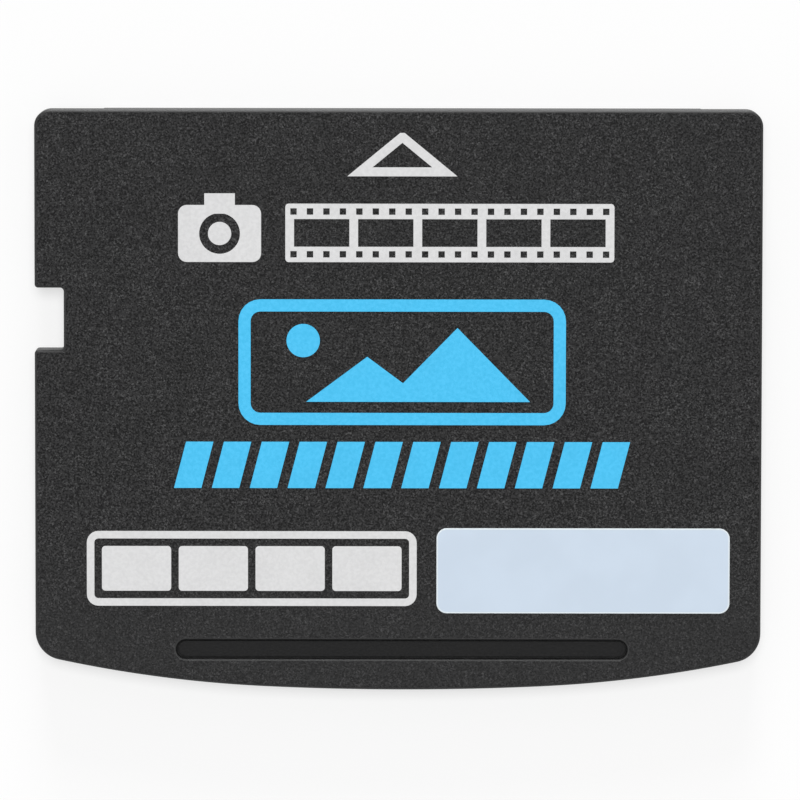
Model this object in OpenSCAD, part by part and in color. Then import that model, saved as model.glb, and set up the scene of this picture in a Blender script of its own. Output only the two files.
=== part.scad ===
// Picture memory card with 18 flat contacts, lying on its back with the printed face up.
// X runs across the card, +Y points to the contact edge and +Z out of the printed face.
// The origin is under the middle of the outline, on the surface that the card lies on.

/* [Card outline] */
// Width of the card, across the way it is pushed in
card_w = 25; // [24.6:0.1:27]
// Length of the card, from the contact edge to the lowest point of the bowed grip edge
card_l = 20; // [19.7:0.1:22]
// Thickness of the card over the label
card_t = 1.78; // [1.74:0.01:2.2]
// Radius of the two corners at the contact edge
corner_r = 0.56; // [0.3:0.02:1]
// Radius of the two corners at the grip edge
grip_corner_r = 1; // [0.5:0.1:2]
// Radius of the flat middle arc of the grip edge
bow_r = 102; // [80:1:140]
// Half the width of that middle arc
bow_half = 4.75; // [3:0.25:7]
// Radius of the two arcs that lead from it to the corners
bow_end_r = 43.5; // [36:0.5:60]
// Rounding of the outer edges of both faces
edge_r = 0.13; // [0.05:0.01:0.2]

/* [Guide rails] */
// Width of the left rail
left_rail_w = 2.33; // [1.8:0.01:2.6]
// Width of the right rail
right_rail_w = 2.07; // [1.8:0.01:2.6]
// How far each rail is stepped back from the back face
rail_step = 0.5; // [0.3:0.05:0.6]
// Distance from the bottom of the bow to the end of the steps
rail_stop = 3; // [2.4:0.1:5]
// Radius in the inner corner where a step ends
rail_stop_r = 0.8; // [0.3:0.1:1.2]

/* [Locating notch] */
// Width of the notch in the left edge
notch_l = 2.14; // [1.6:0.02:2.6]
// Depth of the notch
notch_d = 1; // [0.6:0.05:1.4]
// Distance from the contact edge to the notch
notch_from_edge = 6.12; // [5:0.02:8]
// Radius in the inner corners of the notch
notch_r = 0.13; // [0.05:0.01:0.3]
// Radius of the two corners where the notch meets the edge of the card
notch_mouth_r = 0.12; // [0.05:0.01:0.3]

/* [Covers] */
// Thickness of the back cover under the circuit board
floor_t = 0.3; // [0.25:0.01:0.34]
// Thickness of the front cover over the chip
skin_t = 0.4; // [0.3:0.01:0.43]
// Height of the welded seam between the two covers
seam_z = 1; // [0.8:0.05:1.2]
// Wall left between the board pocket and the sides of the tongue
side_wall = 0.45; // [0.3:0.01:0.5]
// Wall left between the board pocket and the contact edge
edge_wall = 0.5; // [0.4:0.02:0.7]
// Solid plastic left between the board pocket and the bottom of the bow
grip_solid = 1.9; // [1.86:0.02:2]
// Radius of the pocket's corners
pocket_r = 0.5; // [0.3:0.05:0.8]

/* [Finger groove] */
// Length of the groove, across the card
groove_w = 15.55; // [12:0.05:18]
// Width of the groove
groove_l = 0.67; // [0.4:0.01:0.7]
// Depth of the groove
groove_d = 0.4; // [0.1:0.01:0.6]
// Distance from the bottom of the bow to the middle of the groove
groove_from_grip = 1.4; // [1.3:0.01:1.5]

/* [Circuit board] */
// Thickness of the circuit board
board_t = 0.3; // [0.25:0.01:0.34]
// Clearance between the board and its pocket, all round
board_gap = 0.1; // [0.05:0.01:0.2]
// Diameter of the two posts that locate the board
post_d = 0.8; // [0.5:0.05:0.85]
// Clearance between a post and its hole, all round
post_gap = 0.05; // [0.02:0.01:0.1]
// Distance from the side of the board to the middle of a post
post_from_side = 1.15; // [0.8:0.05:1.2]
// Distance from the grip end of the board to the middle of a post
post_from_end = 0.7; // [0.6:0.02:0.8]
// How far a post stands above the board
post_stand = 0.1; // [0.05:0.01:0.15]

/* [Contacts] */
// Number of contacts
contact_count = 18; // [10:1:18]
// Distance from the side of the tongue to the first and the last contact
contact_from_side = 0.73; // [0.6:0.01:1.4]
// Width of a contact
contact_w = 0.78; // [0.5:0.01:0.82]
// Length of a contact
contact_l = 3; // [2:0.1:3.4]
// Thickness of a contact
contact_t = 0.035; // [0.02:0.005:0.1]
// Radius of a contact's corners
contact_r = 0.08; // [0.02:0.01:0.2]
// Distance from the contact edge to the contacts
contact_from_edge = 0.85; // [0.75:0.01:1.2]
// Clearance between a contact and its window in the back cover
window_gap = 0.025; // [0.01:0.005:0.05]

/* [Memory chip] */
// Board left free between the feet of the leads and the side of the board
foot_from_side = 1.25; // [1.1:0.01:2]
// Distance from the contact edge of the board to the chip's body
chip_from_top = 3.9; // [3.5:0.05:4.5]
// Distance from the grip end of the board to the chip's body
chip_from_end = 1.5; // [1.2:0.05:2]
// Clearance between the chip and the front cover
chip_gap = 0.1; // [0.05:0.01:0.2]
// Gap between the chip's body and the board
chip_stand = 0.05; // [0.02:0.01:0.1]
// Radius of the chip's corners
chip_r = 0.15; // [0.05:0.01:0.4]
// Diameter of the dimple that marks the first lead
dimple_d = 1; // [0.5:0.05:1.5]
// Depth of that dimple
dimple_depth = 0.06; // [0.03:0.01:0.12]
// Distance from the sides of the chip to the middle of the dimple
dimple_inset = 1.1; // [0.8:0.05:2]
// Number of leads in a row
lead_count = 24; // [12:1:24]
// Distance from the end of the chip's body to the middle of its first and last lead
lead_from_end = 0.25; // [0.15:0.01:0.6]
// Width of a lead
lead_w = 0.22; // [0.12:0.01:0.3]
// Thickness of a lead
lead_t = 0.12; // [0.08:0.01:0.15]
// How far a lead reaches out from the body
lead_reach = 0.8; // [0.7:0.02:0.9]
// Length of the level shoulder where a lead leaves the body
lead_shoulder = 0.22; // [0.16:0.01:0.3]
// Length of the foot that is soldered to the board
lead_foot = 0.4; // [0.25:0.01:0.44]

/* [Small components] */
// Length of a capacitor or resistor, across the card
chip_part_w = 1; // [0.8:0.05:1.6]
// Width of a capacitor or resistor
chip_part_l = 0.5; // [0.3:0.05:0.8]
// Height of a capacitor
capacitor_t = 0.5; // [0.3:0.01:0.65]
// Height of the resistor
resistor_t = 0.35; // [0.2:0.01:0.6]
// Length of a metal end cap
end_cap = 0.22; // [0.1:0.01:0.35]
// Distance from the side of the board to the middle of a capacitor
capacitor_from_side = 3.75; // [1:0.05:7]
// Distance from the contact edge to the middle of the small components
chip_part_from_edge = 2.6; // [1.6:0.1:3.6]

/* [Label] */
// Width of the writing label
label_w = 10.1; // [8:0.1:10.3]
// Length of the writing label
label_l = 2.95; // [2:0.05:3.4]
// Thickness of the label's film
label_t = 0.03; // [0.02:0.005:0.05]
// Radius of the label's corners
label_r = 0.36; // [0.1:0.02:0.8]
// Distance from the right edge of the card to the label
label_from_side = 1.08; // [0.6:0.02:1.2]
// Distance from the bottom of the bow to the label
label_from_grip = 2.66; // [2:0.02:3]

/* [Printed arrow] */
// Thickness of the printed ink
ink_t = 0.02; // [0.01:0.005:0.03]
// Width of the insertion arrow
arrow_w = 3.78; // [2.4:0.02:5]
// Height of the insertion arrow
arrow_l = 1.49; // [1:0.01:1.7]
// Width of the arrow's blunt tip
arrow_tip_w = 0.15; // [0.1:0.01:0.5]
// Width of the arrow's line
arrow_line = 0.31; // [0.15:0.01:0.34]
// Distance from the contact edge to the arrow's tip
arrow_from_edge = 0.78; // [0.4:0.02:1]

/* [Printed camera mark] */
// Width of the camera mark
camera_w = 2.85; // [2:0.05:3.2]
// Height of the camera mark with its finder
camera_l = 2.36; // [2.2:0.02:2.8]
// Width of the finder on top of the mark
finder_w = 1.05; // [0.6:0.05:1.4]
// Height of the finder
finder_l = 0.4; // [0.2:0.02:0.5]
// Diameter of the dark ring round the mark's lens
lens_ring_d = 1.4; // [1:0.05:1.6]
// Diameter of the mark's lens
lens_d = 0.8; // [0.4:0.05:0.9]
// Radius of the mark's corners
camera_r = 0.3; // [0.1:0.02:0.5]
// Distance from the left rail to the mark
camera_from_rail = 2.605; // [2:0.005:3.5]
// Gap between the arrow and the mark
arrow_gap = 0.59; // [0.3:0.01:0.8]

/* [Printed film strip] */
// Distance from the right rail to the film strip
strip_from_rail = 3.025; // [2:0.005:5]
// Width of the film strip
strip_l = 2.01; // [1.9:0.01:2.4]
// Number of pictures on the strip
strip_frames = 5; // [3:1:6]
// Width of the bar between two pictures
strip_bar = 0.3; // [0.15:0.01:0.5]
// Height of a picture on the strip
strip_picture_l = 0.95; // [0.6:0.01:1]
// Side of a square perforation
strip_hole = 0.22; // [0.1:0.01:0.3]
// Number of perforations beside each picture
strip_holes = 4; // [2:1:5]
// Distance from the edge of the strip to the middle of its perforations
strip_hole_inset = 0.27; // [0.2:0.01:0.3]
// Radius of the strip's corners
strip_r = 0.12; // [0.05:0.01:0.3]
// Gap between the camera mark and the strip
strip_gap = 0.83; // [0.4:0.01:1.2]

/* [Printed picture mark] */
// Width of the picture mark
picture_w = 11.25; // [8:0.05:14]
// Gap between the row of the camera mark and the picture mark
picture_gap = 1.28; // [0.8:0.01:1.6]
// Width of the mark's frame line
picture_line = 0.42; // [0.2:0.01:0.6]
// Radius of the frame's outer corners
picture_r = 0.75; // [0.7:0.01:1.2]
// Diameter of the sun in the picture
sun_d = 1.15; // [0.6:0.05:1.4]
// Distance from the middle of the picture to the sun, to the left
sun_x = 3.4; // [2.5:0.1:3.8]
// Distance from the frame's top to the middle of the sun
sun_from_top = 1.42; // [1.2:0.01:1.6]
// Distance from the frame's bottom to the foot of the hills
hills_from_bottom = 0.8; // [0.6:0.01:0.9]
// Distance from the frame's top to the top of the high hill
high_hill_from_top = 0.98; // [0.7:0.01:1.4]
// Height of the low hill for each millimetre of the high one
low_hill_share = 0.61; // [0.4:0.01:0.8]
// Half the width of the high hill's foot
high_hill_half = 2.5; // [2:0.05:2.6]
// Half the width of the low hill's foot
low_hill_half = 2.1; // [1.6:0.05:2.2]
// Distance from the middle of the picture to the high hill, to the right
high_hill_x = 1.9; // [1.5:0.05:2.1]
// Distance from the middle of the picture to the low hill, to the left
low_hill_x = 1.2; // [1:0.05:1.6]

/* [Printed slanted bars] */
// Distance from each rail to the row of slanted bars
bars_from_rail = 2.455; // [1:0.005:4]
// Height of the bars
bars_l = 1.6; // [1:0.02:1.7]
// Number of bars
bars_count = 12; // [6:1:14]
// Gap between two bars
bars_gap = 0.36; // [0.2:0.01:0.6]
// Slant of the bars, in degrees
bars_slant = 14.6; // [0:0.1:20]
// Gap between the picture mark and the bars
bars_from_picture = 0.58; // [0.3:0.01:1]
// Gap between the bars and the row of the label and the gauge
bars_from_row = 1.38; // [0.8:0.01:1.6]

/* [Printed capacity gauge] */
// Gap between the gauge and the label
gauge_from_label = 0.68; // [0.4:0.01:2]
// Height of the gauge
gauge_l = 2.59; // [2:0.01:3]
// Width of the gauge's frame line
gauge_line = 0.26; // [0.15:0.01:0.4]
// Gap between the frame and the blocks, and between the blocks
gauge_gap = 0.26; // [0.15:0.01:0.4]
// Number of blocks in the gauge
gauge_blocks = 4; // [2:1:6]
// Radius of the gauge's corners
gauge_r = 0.4; // [0.2:0.02:0.6]
// Radius of the blocks' corners
gauge_block_r = 0.12; // [0.05:0.01:0.3]
// Distance from the left edge of the card to the gauge
gauge_from_side = 1.78; // [1.4:0.02:1.9]
// Distance from the bottom of the bow to the gauge
gauge_from_grip = 2.91; // [2.2:0.02:3]

/* [Hidden] */
$fn = 48;
corner_steps = 8;
bow_steps = 8;
edge_steps = 3;
plate_steps = 6;
// How far a cutter runs past what it cuts
overrun = 0.5;

top_y = card_l / 2;
bottom_y = -card_l / 2;
left_x = -card_w / 2;
right_x = card_w / 2;
face_z = card_t - label_t;
skin_z = face_z - skin_t;

// Full-thickness tongue between the rails; its middle line carries the inside and the artwork
tongue_w = card_w - left_rail_w - right_rail_w;
mid_x = (left_rail_w - right_rail_w) / 2;

pocket_w = tongue_w - 2 * side_wall;
pocket_top = top_y - edge_wall;
pocket_bottom = bottom_y + grip_solid;
pocket_l = pocket_top - pocket_bottom;
pocket_y = (pocket_top + pocket_bottom) / 2;

board_w = pocket_w - 2 * board_gap;
board_l = pocket_l - 2 * board_gap;
board_top = pocket_y + board_l / 2;
board_bottom = pocket_y - board_l / 2;
board_z = floor_t;
board_top_z = board_z + board_t;
post_x = board_w / 2 - post_from_side;
post_y = board_bottom + post_from_end;

contact_y = top_y - contact_from_edge - contact_l / 2;
contact_pitch = (tongue_w - 2 * contact_from_side - contact_w) / (contact_count - 1);
window_w = contact_w + 2 * window_gap;
window_l = contact_l + 2 * window_gap;

chip_w = board_w - 2 * (foot_from_side + lead_reach);
chip_l = board_l - chip_from_top - chip_from_end;
chip_y = board_top - chip_from_top - chip_l / 2;
chip_z = board_top_z + chip_stand;
chip_t = skin_z - chip_gap - chip_z;
lead_pitch = (chip_l - 2 * lead_from_end) / (lead_count - 1);
chip_part_y = top_y - chip_part_from_edge;
capacitor_x = board_w / 2 - capacitor_from_side;

// Artwork, from the contact edge down and from the grip edge up; the picture mark fills the rest
camera_top = top_y - arrow_from_edge - arrow_l - arrow_gap;
camera_bottom = camera_top - camera_l;
picture_top = camera_bottom - picture_gap;
row_top = bottom_y + max(label_from_grip + label_l, gauge_from_grip + gauge_l);
bars_bottom = row_top + bars_from_row;
picture_bottom = bars_bottom + bars_l + bars_from_picture;
picture_l = picture_top - picture_bottom;
camera_x = mid_x - tongue_w / 2 + camera_from_rail + camera_w / 2;
strip_left = camera_x + camera_w / 2 + strip_gap;
strip_w = mid_x + tongue_w / 2 - strip_from_rail - strip_left;
bars_w = tongue_w - 2 * bars_from_rail;
gauge_w = card_w - gauge_from_side - gauge_from_label - label_w - label_from_side;

bow_centre = [mid_x, bottom_y + bow_r];
bow_angle = asin(bow_half / bow_r);

function contact_name(i) = str("contact_", i < 10 ? "0" : "", i);

// Points of an arc from one angle to another, without its last point where another arc follows
function arc(centre, r, from, to, steps, last = true) = [
    for (i = [0:steps - (last ? 0 : 1)])
        let (a = from + (to - from) * i / steps)
        centre + r * [cos(a), sin(a)]
];

// Centre of the arc that leads from the middle of the bow to the corner on one side
function bow_end_centre(side) =
    bow_centre + (bow_r - bow_end_r) * [side * sin(bow_angle), -cos(bow_angle)];

// Centre of a grip corner, which touches the side of the card and that arc
function grip_corner_centre(side) =
    let (
        arc_centre = bow_end_centre(side),
        x = side * (right_x - grip_corner_r),
        reach = bow_end_r - grip_corner_r
    )
    [x, arc_centre.y - sqrt(pow(reach, 2) - pow(x - arc_centre.x, 2))];

// Angle at which the bow runs into a grip corner, between 180 and 360 degrees
function grip_corner_angle(side) =
    let (d = grip_corner_centre(side) - bow_end_centre(side))
    360 + atan2(d.y, d.x);

// Outline of the card, moved inwards by one distance all round
function outline(inset) =
    let (
        x = right_x - corner_r,
        y = top_y - corner_r,
        r = corner_r - inset,
        grip_r = grip_corner_r - inset,
        end_r = bow_end_r - inset,
        left_angle = grip_corner_angle(-1),
        right_angle = grip_corner_angle(1)
    )
    concat(
        arc([x, y], r, 0, 90, corner_steps),
        arc([-x, y], r, 90, 180, corner_steps),
        arc(grip_corner_centre(-1), grip_r, 180, left_angle, corner_steps, false),
        arc(bow_end_centre(-1), end_r, left_angle, 270 - bow_angle, bow_steps, false),
        arc(bow_centre, bow_r - inset, 270 - bow_angle, 270 + bow_angle, bow_steps, false),
        arc(bow_end_centre(1), end_r, 270 + bow_angle, right_angle, bow_steps, false),
        arc(grip_corner_centre(1), grip_r, right_angle, 360, corner_steps)
    );

// Corners of a rectangle with rounded corners, about its middle
function rounded(size, r) =
    let (x = size.x / 2 - r, y = size.y / 2 - r)
    concat(
        arc([x, y], r, 0, 90, plate_steps),
        arc([-x, y], r, 90, 180, plate_steps),
        arc([-x, -y], r, 180, 270, plate_steps),
        arc([x, -y], r, 270, 360, plate_steps)
    );

// Flat plate with rounded corners, about its middle, standing on the XY plane
module plate(size, r, t) {
    linear_extrude(t) polygon(rounded(size, r));
}

// Flat frame with rounded corners and one line width all round
module frame_plate(size, r, line, t) {
    linear_extrude(t) difference() {
        polygon(rounded(size, r));
        polygon(rounded(size - 2 * [line, line], r - line));
    }
}

// Closed solid through a stack of card outlines, each given as [height, inset]
module outline_stack(levels) {
    rings = [for (level = levels) outline(level[1])];
    count = len(rings[0]);
    last = len(levels) - 1;
    points = [for (k = [0:last]) for (p = rings[k]) [p.x, p.y, levels[k][0]]];
    sides = [
        for (k = [0:last - 1]) for (i = [0:count - 1])
            let (a = k * count, b = a + count, next = (i + 1) % count)
            [a + i, b + i, b + next, a + next]
    ];
    floor_face = [for (i = [0:count - 1]) i];
    top_face = [for (i = [count - 1:-1:0]) last * count + i];
    polyhedron(points, concat([floor_face], sides, [top_face]));
}

// Heights and insets of a rounded edge, counted from the face and going into the card
edge_levels = [
    for (i = [0:edge_steps])
        let (a = 90 * i / edge_steps)
        [edge_r * (1 - cos(a)), edge_r * (1 - sin(a))]
];

// Space between the covers that holds the board, from one height to another
module board_pocket(from_z, to_z) {
    translate([mid_x, pocket_y, from_z]) plate([pocket_w, pocket_l], pocket_r, to_z - from_z);
}

// Rounding of one corner of the notch's mouth, about the middle of the mouth
module notch_mouth_corner(side) {
    mirror([0, side < 0 ? 1 : 0]) polygon(concat(
        [[-overrun, 0], [notch_mouth_r, 0]],
        [
            for (p = arc([notch_mouth_r, notch_mouth_r], notch_mouth_r, 270, 180, corner_steps))
                [p.x, notch_l / 2 + p.y]
        ],
        [[-overrun, notch_l / 2 + notch_mouth_r]]
    ));
}

// Notch in the left edge, cut through both covers
module notch() {
    l = notch_d + overrun;
    translate([left_x, top_y - notch_from_edge - notch_l / 2, -overrun])
        linear_extrude(card_t + 2 * overrun) {
            translate([notch_d - l / 2, 0]) polygon(rounded([l, notch_l], notch_r));
            for (side = [-1, 1]) notch_mouth_corner(side);
        }
}

// Groove across the printed face that a fingernail catches
module finger_groove() {
    translate([mid_x, bottom_y + groove_from_grip, face_z - groove_d])
        plate([groove_w, groove_l], groove_l / 2, groove_d + overrun);
}

// Step that leaves a thinner guide rail along one side of the back
module rail_cut(side) {
    inner_x = mid_x + side * tongue_w / 2;
    outer_x = side * (right_x + rail_stop_r + overrun);
    bottom = bottom_y + rail_stop;
    top = top_y + rail_stop_r + overrun;
    translate([(inner_x + outer_x) / 2, (top + bottom) / 2, -overrun])
        plate([abs(outer_x - inner_x), top - bottom], rail_stop_r, rail_step + overrun);
}

// Middle of one contact across the card
function contact_x(i) = mid_x + (i - (contact_count + 1) / 2) * contact_pitch;

// Window in the back cover over one contact
module contact_window(i) {
    translate([contact_x(i), contact_y, -overrun])
        plate([window_w, window_l], contact_r + window_gap, floor_t + 2 * overrun);
}

// Places its children at the two posts that locate the board
module at_posts() {
    for (side = [-1, 1])
        translate([mid_x + side * post_x, post_y, 0]) children();
}

module front_cover() {
    color("#37383b") difference() {
        outline_stack(concat(
            [[seam_z, 0]],
            [for (i = [edge_steps:-1:0]) [face_z - edge_levels[i][0], edge_levels[i][1]]]
        ));
        board_pocket(seam_z - overrun, skin_z);
        notch();
        finger_groove();
    }
}

module back_cover() {
    color("#2f3033") {
        difference() {
            outline_stack(concat(edge_levels, [[seam_z, 0]]));
            board_pocket(floor_t, seam_z + overrun);
            notch();
            for (side = [-1, 1]) rail_cut(side);
            for (i = [1:contact_count]) contact_window(i);
        }
        at_posts() cylinder(d = post_d, h = board_top_z + post_stand);
    }
}

module circuit_board() {
    color("#1f5a3a") difference() {
        translate([mid_x, pocket_y, board_z]) plate([board_w, board_l], pocket_r - board_gap, board_t);
        at_posts() translate([0, 0, board_z - overrun])
            cylinder(d = post_d + 2 * post_gap, h = board_t + 2 * overrun);
    }
}

module contact(i) {
    color("#d9b45a") translate([contact_x(i), contact_y, board_z - contact_t])
        plate([contact_w, contact_l], contact_r, contact_t);
}

module memory_chip() {
    color("#222326") difference() {
        translate([mid_x, chip_y, chip_z]) plate([chip_w, chip_l], chip_r, chip_t);
        translate([
            mid_x - chip_w / 2 + dimple_inset,
            chip_y + chip_l / 2 - dimple_inset,
            chip_z + chip_t - dimple_depth
        ])
            cylinder(d = dimple_d, h = dimple_depth + overrun);
    }
}

// Side view of one lead, from the chip's body out and down to the board
module lead_profile() {
    middle = chip_stand + chip_t / 2;
    knee = lead_reach - lead_foot;
    half = lead_t / 2;
    polygon([
        [0, middle + half],
        [lead_shoulder, middle + half],
        [knee, lead_t],
        [lead_reach, lead_t],
        [lead_reach, 0],
        [knee - half, 0],
        [lead_shoulder - half, middle - half],
        [0, middle - half]
    ]);
}

// Row of leads on the right side of the chip
module lead_row() {
    for (i = [1:lead_count])
        translate([
            chip_w / 2,
            (i - (lead_count + 1) / 2) * lead_pitch + lead_w / 2,
            board_top_z
        ])
            rotate([90, 0, 0]) linear_extrude(lead_w) lead_profile();
}

module right_chip_leads() {
    color("#c9ccd0") translate([mid_x, chip_y, 0]) lead_row();
}

module left_chip_leads() {
    color("#c9ccd0") translate([mid_x, chip_y, 0]) mirror([1, 0, 0]) lead_row();
}

// Middle body of a small component, between its end caps
module component_body(x, t) {
    w = chip_part_w - 2 * end_cap;
    translate([mid_x + x - w / 2, chip_part_y - chip_part_l / 2, board_top_z])
        cube([w, chip_part_l, t]);
}

// Both end caps of a small component
module component_caps(x, t) {
    for (side = [0, 1])
        translate([
            mid_x + x - chip_part_w / 2 + side * (chip_part_w - end_cap),
            chip_part_y - chip_part_l / 2,
            board_top_z
        ])
            cube([end_cap, chip_part_l, t]);
}

module left_capacitor() {
    color("#b79a72") component_body(-capacitor_x, capacitor_t);
}

module right_capacitor() {
    color("#b79a72") component_body(capacitor_x, capacitor_t);
}

module resistor() {
    color("#26272b") component_body(0, resistor_t);
}

module component_end_caps() {
    color("#c9ccd0") {
        component_caps(-capacitor_x, capacitor_t);
        component_caps(0, resistor_t);
        component_caps(capacitor_x, capacitor_t);
    }
}

module writing_label() {
    color("#cddbea") translate([
        right_x - label_from_side - label_w / 2,
        bottom_y + label_from_grip + label_l / 2,
        face_z
    ])
        plate([label_w, label_l], label_r, label_t);
}

// Insertion arrow: the outline of a triangle with a blunt tip
module arrow_print() {
    half = arrow_w / 2;
    slope = arrow_l / (half - arrow_tip_w / 2);
    angle = atan(slope);
    inner_half = half - arrow_line / tan(angle) - arrow_line / sin(angle);
    color("#dddddd") translate([mid_x, top_y - arrow_from_edge - arrow_l, face_z])
        linear_extrude(ink_t) difference() {
            polygon([[-half, 0], [half, 0], [arrow_tip_w / 2, arrow_l], [-arrow_tip_w / 2, arrow_l]]);
            polygon([
                [-inner_half, arrow_line],
                [inner_half, arrow_line],
                [0, arrow_line + inner_half * slope]
            ]);
        }
}

// Plain camera: a body with a finder on top and a round lens
module camera_print() {
    body_l = camera_l - finder_l;
    color("#dddddd") translate([camera_x, camera_top, face_z])
        linear_extrude(ink_t) {
            translate([0, -finder_l - body_l / 2]) {
                difference() {
                    polygon(rounded([camera_w, body_l], camera_r));
                    circle(d = lens_ring_d);
                }
                circle(d = lens_d);
            }
            translate([-finder_w / 2, -finder_l - camera_r])
                square([finder_w, finder_l + camera_r]);
        }
}

// Strip of film with its pictures and its two rows of square perforations left open
module film_strip_print() {
    frame_pitch = (strip_w - strip_bar) / strip_frames;
    holes = strip_frames * strip_holes;
    hole_pitch = strip_w / holes;
    color("#dddddd") translate([strip_left + strip_w / 2, camera_bottom + strip_l / 2, face_z])
        linear_extrude(ink_t) difference() {
            polygon(rounded([strip_w, strip_l], strip_r));
            for (i = [1:strip_frames])
                translate([(i - (strip_frames + 1) / 2) * frame_pitch, 0])
                    square([frame_pitch - strip_bar, strip_picture_l], center = true);
            for (i = [1:holes], side = [-1, 1])
                translate([
                    (i - (holes + 1) / 2) * hole_pitch,
                    side * (strip_l / 2 - strip_hole_inset)
                ])
                    square(strip_hole, center = true);
        }
}

// Plain picture: a frame with a sun and two hills
module picture_print() {
    foot = hills_from_bottom - picture_l / 2;
    high_hill = picture_l - hills_from_bottom - high_hill_from_top;
    low_hill = low_hill_share * high_hill;
    color("#51c6f6") translate([mid_x, picture_bottom + picture_l / 2, face_z]) {
        frame_plate([picture_w, picture_l], picture_r, picture_line, ink_t);
        linear_extrude(ink_t) {
            translate([-sun_x, picture_l / 2 - sun_from_top]) circle(d = sun_d);
            polygon([
                [high_hill_x - high_hill_half, foot],
                [high_hill_x + high_hill_half, foot],
                [high_hill_x, foot + high_hill]
            ]);
            polygon([
                [-low_hill_x - low_hill_half, foot],
                [-low_hill_x + low_hill_half, foot],
                [-low_hill_x, foot + low_hill]
            ]);
        }
    }
}

// Row of plain slanted bars
module slanted_bars_print() {
    lean = bars_l * tan(bars_slant);
    pitch = (bars_w - lean + bars_gap) / bars_count;
    color("#51c6f6") translate([mid_x - bars_w / 2, bars_bottom, face_z])
        for (i = [0:bars_count - 1])
            translate([i * pitch, 0, 0]) linear_extrude(ink_t) polygon([
                [0, 0],
                [pitch - bars_gap, 0],
                [pitch - bars_gap + lean, bars_l],
                [lean, bars_l]
            ]);
}

// Gauge for the capacity: a frame with a row of filled blocks
module gauge_print() {
    inner_w = gauge_w - 2 * (gauge_line + gauge_gap);
    inner_l = gauge_l - 2 * (gauge_line + gauge_gap);
    pitch = (inner_w + gauge_gap) / gauge_blocks;
    color("#dedfdf") translate([
        left_x + gauge_from_side + gauge_w / 2,
        bottom_y + gauge_from_grip + gauge_l / 2,
        face_z
    ]) {
        frame_plate([gauge_w, gauge_l], gauge_r, gauge_line, ink_t);
        for (i = [1:gauge_blocks])
            translate([(i - (gauge_blocks + 1) / 2) * pitch, 0, 0])
                plate([pitch - gauge_gap, inner_l], gauge_block_r, ink_t);
    }
}

front_cover();
back_cover();
circuit_board();
for (i = [1:contact_count])
    contact(i);
memory_chip();
left_chip_leads();
right_chip_leads();
left_capacitor();
right_capacitor();
resistor();
component_end_caps();
writing_label();
arrow_print();
camera_print();
film_strip_print();
picture_print();
slanted_bars_print();
gauge_print();
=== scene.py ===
"""Dresses the picture memory card: moulded covers, film label, printed marks, contacts and a plain studio."""

import logging
import math
from dataclasses import dataclass
from enum import Enum
from typing import Iterable, Sequence

import bmesh
import bpy
from mathutils import Euler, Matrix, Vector


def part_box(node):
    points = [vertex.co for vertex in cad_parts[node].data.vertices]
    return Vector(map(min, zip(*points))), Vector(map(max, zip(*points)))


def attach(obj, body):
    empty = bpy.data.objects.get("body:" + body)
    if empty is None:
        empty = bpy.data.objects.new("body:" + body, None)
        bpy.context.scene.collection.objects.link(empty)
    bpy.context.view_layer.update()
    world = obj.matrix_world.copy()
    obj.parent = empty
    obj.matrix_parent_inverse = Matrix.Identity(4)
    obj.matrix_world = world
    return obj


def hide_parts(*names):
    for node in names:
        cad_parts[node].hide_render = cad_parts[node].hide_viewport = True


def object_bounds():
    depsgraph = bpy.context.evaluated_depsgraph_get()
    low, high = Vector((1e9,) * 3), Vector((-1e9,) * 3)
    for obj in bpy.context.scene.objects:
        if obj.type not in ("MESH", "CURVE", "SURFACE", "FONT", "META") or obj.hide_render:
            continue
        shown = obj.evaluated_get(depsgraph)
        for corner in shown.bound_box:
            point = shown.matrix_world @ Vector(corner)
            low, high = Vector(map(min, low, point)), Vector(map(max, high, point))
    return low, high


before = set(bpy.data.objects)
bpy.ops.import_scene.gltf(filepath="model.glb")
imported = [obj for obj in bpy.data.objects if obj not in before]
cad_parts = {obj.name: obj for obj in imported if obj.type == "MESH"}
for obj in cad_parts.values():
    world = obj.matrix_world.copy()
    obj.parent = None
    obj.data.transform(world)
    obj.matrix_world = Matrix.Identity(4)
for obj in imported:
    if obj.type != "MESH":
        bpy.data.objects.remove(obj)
CAD_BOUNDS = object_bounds()

LOG = logging.getLogger("memory_card")
MM = 0.001
ROOT = "root"
# Lengths in millimetres below which two points are one, and below which an edge is a leftover.
MERGE = 1e-4
STUB = 3 * MERGE
# Average of a noise node, and the span that nearly all of it lies in.
NOISE_MEAN = 0.5
NOISE_SPAN = (0.3, 0.7)
# Sockets of a Mix node that mixes colours.
MIX_SHARE, MIX_FIRST, MIX_SECOND, MIX_RESULT = 0, 6, 7, 2

Span = tuple[float, float]
Colour = tuple[float, float, float]
Mesh = bmesh.types.BMesh
Socket = bpy.types.NodeSocket


class Side(Enum):
    """Side of the card, as seen on the printed face."""

    LEFT = -1
    RIGHT = 1


class Cut(Enum):
    """How one solid changes another."""

    AWAY = "DIFFERENCE"
    ON = "UNION"


def box_mm(node: str) -> tuple[Vector, Vector]:
    """Lowest and highest corner of a CAD node.

    Args:
        node: Name of the node.

    Returns:
        Both corners, in millimetres.
    """
    low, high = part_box(node)
    return low / MM, high / MM


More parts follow.
